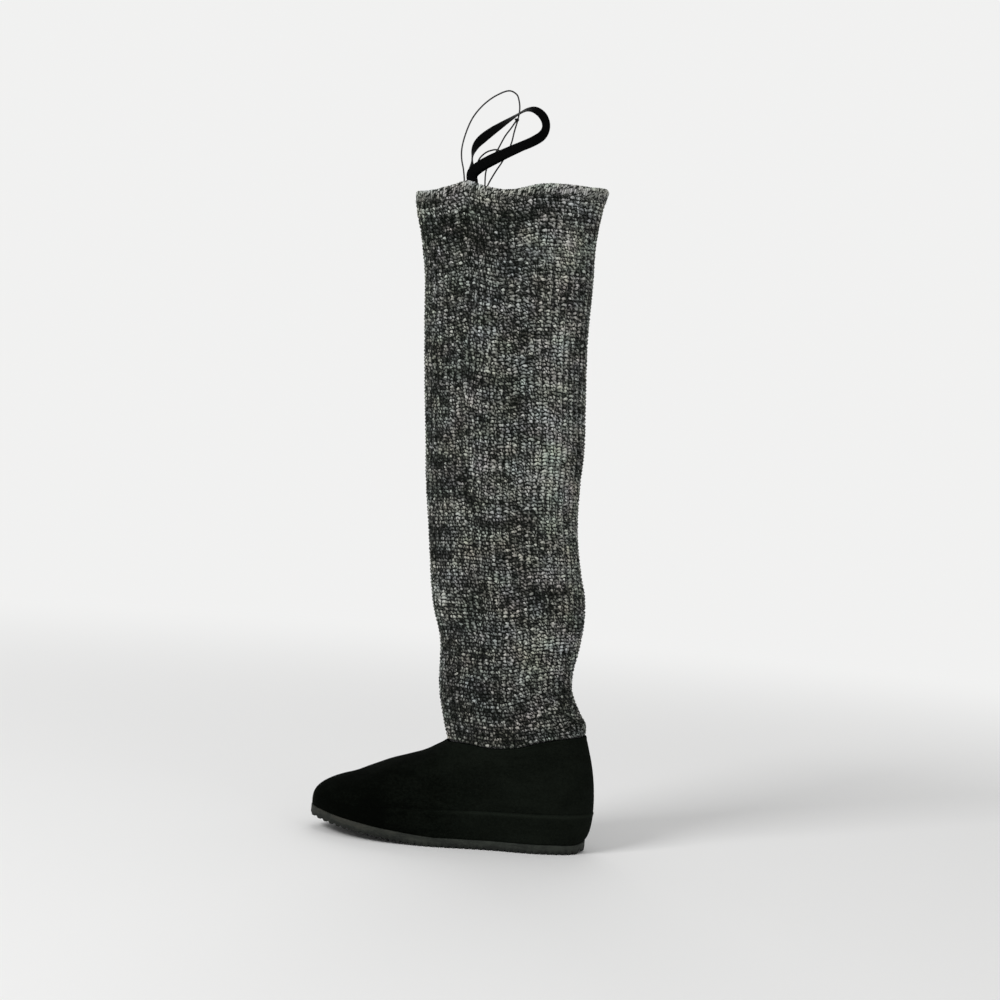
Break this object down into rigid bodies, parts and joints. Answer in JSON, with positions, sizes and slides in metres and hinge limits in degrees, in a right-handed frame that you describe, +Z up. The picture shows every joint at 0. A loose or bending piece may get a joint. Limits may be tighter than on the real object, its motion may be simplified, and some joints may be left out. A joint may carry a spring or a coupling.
{
  "type": "pull-on boot",
  "caption": "Left over-the-knee pull-on boot: suede foot on a suede-wrapped platform, ribbed rubber outsole, slack rib-knit shaft with a ribbon pull loop and threads.",
  "frame": {"origin": "middle of the flat crest of one rib under the heel, on the plane that the sole stands on and on the boot's centre line", "axes": "+X from the heel to the toe, +Y to the outer (lateral) side, +Z up the shaft"},
  "size_m": [0.2719, 0.0945, 0.7205],
  "materials": {
    "rubber": "matt grey-black moulded rubber, ribbed across the foot",
    "suede": "black suede with a short soft nap",
    "insole": "dark matt lining cloth",
    "knit": "chunky rib knit in marled grey wool yarn, light and dark twisted together",
    "ribbon": "black woven ribbon with a low sheen",
    "thread": "thin black braided thread"
  },
  "bodies": {
    "root": {"outsole": "rubber", "platform": "suede", "upper": "suede", "insole": "insole", "shaft": "knit", "pull_loop": "ribbon", "thread_loop": "thread", "thread_tie": "thread", "thread_tail": "thread"}
  },
  "joints": []
}
